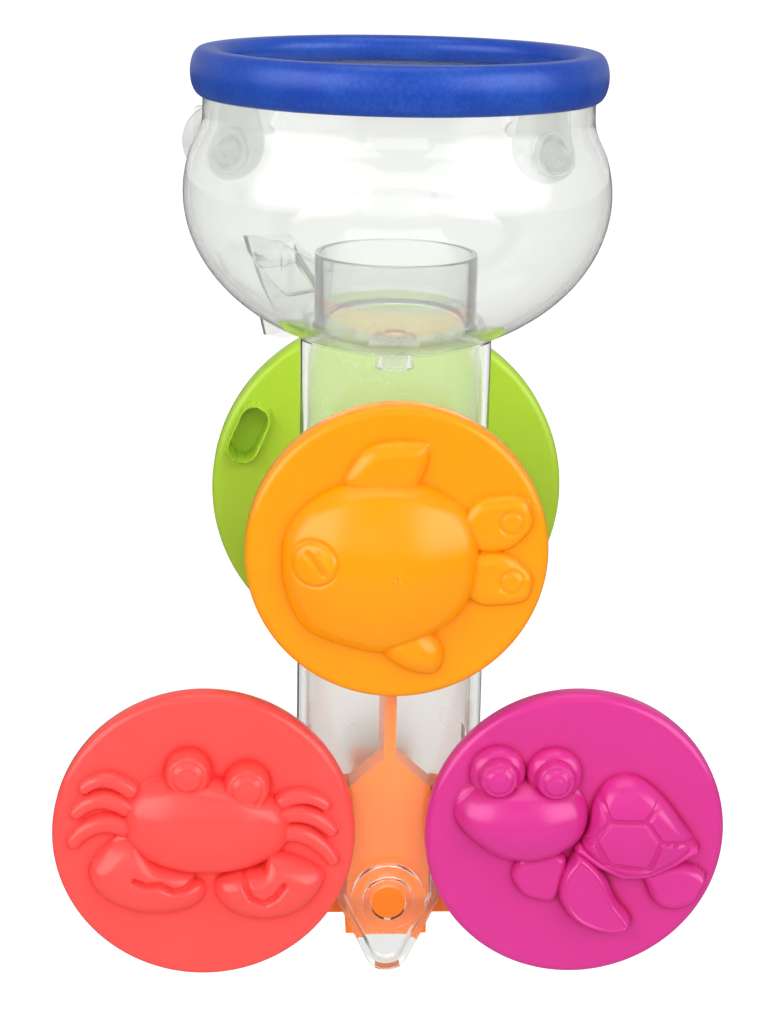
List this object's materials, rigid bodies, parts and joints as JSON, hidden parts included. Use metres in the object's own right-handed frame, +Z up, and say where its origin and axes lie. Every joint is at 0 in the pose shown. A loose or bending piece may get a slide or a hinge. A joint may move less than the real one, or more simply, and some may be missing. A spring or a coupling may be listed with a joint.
{
  "type": "water wheel toy",
  "caption": "Wall-hung bath toy: a clear bowl with a blue rim pours through a clear tower onto animal wheels that spin.",
  "frame": {"origin": "on the wall plane at the middle of the bottom suction cup", "axes": "+Y into the wall, +Z up along the tower, +X to the right as seen from the front"},
  "size_m": [0.2072, 0.1302, 0.2876],
  "materials": {
    "clear_plastic": "clear",
    "clear_soft_vinyl": "clear",
    "blue_soft": "satin",
    "orange_plastic": "satin",
    "fish_plastic": "gloss",
    "green_plastic": "gloss",
    "crab_plastic": "gloss",
    "turtle_plastic": "gloss",
    "white_plastic": "satin",
    "steel": "brushed"
  },
  "bodies": {
    "stand": {"bowl": "clear_plastic", "side_spout": "clear_plastic", "tower_front_shell": "clear_plastic", "tower_back_shell": "clear_plastic", "bowl_rim": "blue_soft", "splitter_base": "orange_plastic", "suction_cup_left": "clear_soft_vinyl", "suction_cup_right": "clear_soft_vinyl", "suction_cup_bottom": "clear_soft_vinyl", "base_screw_left": "steel", "base_screw_right": "steel", "crab_axle": "white_plastic", "crab_retainer": "steel", "turtle_axle": "white_plastic", "turtle_retainer": "steel"},
    "main_wheel": {"main_axle": "white_plastic", "axle_cap": "white_plastic", "tower_rotor": "white_plastic", "fish_wheel": "fish_plastic", "green_wheel": "green_plastic"},
    "crab_wheel": {"crab_wheel": "crab_plastic", "crab_paddle": "crab_plastic"},
    "turtle_wheel": {"turtle_wheel": "turtle_plastic", "turtle_paddle": "turtle_plastic"}
  },
  "joints": [
    {"name": "main_wheel_spin", "type": "hinge", "parent": "stand", "child": "main_wheel", "pos_m": [0, -0.066, 0.10291], "axis": [0, -1, 0], "continuous": true},
    {"name": "crab_wheel_spin", "type": "hinge", "parent": "stand", "child": "crab_wheel", "pos_m": [-0.0572, -0.066, 0.0098], "axis": [0, -1, 0], "continuous": true},
    {"name": "turtle_wheel_spin", "type": "hinge", "parent": "stand", "child": "turtle_wheel", "pos_m": [0.0572, -0.066, 0.0098], "axis": [0, -1, 0], "continuous": true}
  ]
}
